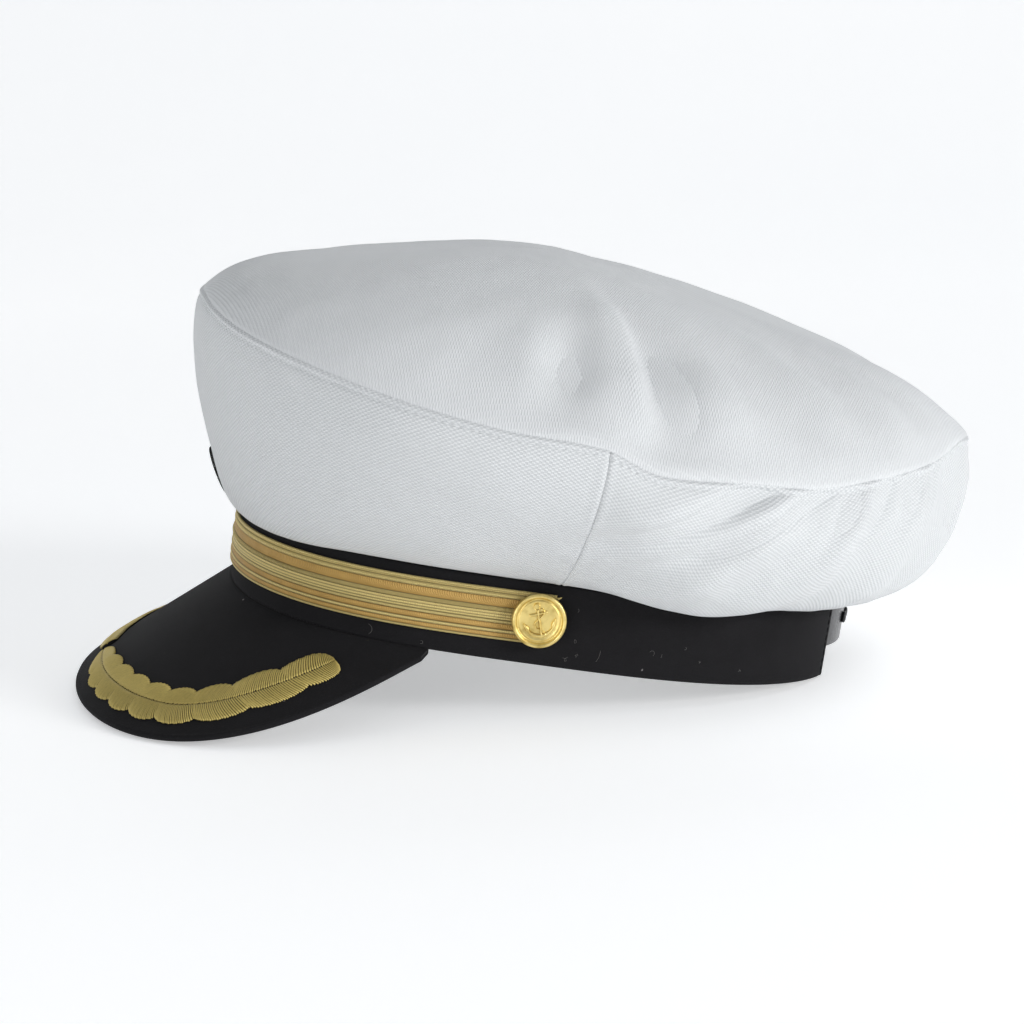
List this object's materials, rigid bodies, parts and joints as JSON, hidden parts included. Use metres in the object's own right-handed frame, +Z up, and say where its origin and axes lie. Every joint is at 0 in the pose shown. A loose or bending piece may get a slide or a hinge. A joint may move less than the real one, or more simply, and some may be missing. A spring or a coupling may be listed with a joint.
{
  "type": "captain hat",
  "caption": "Soft white peaked hat with a black band and visor, gold braid, leaf embroidery, anchor buttons and a rear snap strap.",
  "frame": {"origin": "middle of the hat's box, on the surface that the hat rests on", "axes": "+Z up, -Y towards the visor, +X towards the wearer's left; the hat rests on the visor's edge and the band's rear corners"},
  "size_m": [0.2398, 0.3028, 0.1423],
  "materials": {
    "white_cloth": "matt woven cotton",
    "black_felt": "matt felt",
    "gold_braid": "metallic thread",
    "gold_thread": "satin stitch",
    "gilt": "satin gilt",
    "patch_cloth": "matt felt",
    "black_plastic": "gloss"
  },
  "bodies": {
    "root": {"crown_top": "white_cloth", "crown_front": "white_cloth", "crown_back": "white_cloth", "band": "black_felt", "visor": "black_felt", "braid": "gold_braid", "spray_left": "gold_thread", "spray_right": "gold_thread", "button_left": "gilt", "button_right": "gilt", "front_patch": "patch_cloth", "snap_strap_left": "black_plastic", "snap_strap_right": "black_plastic"}
  },
  "joints": []
}
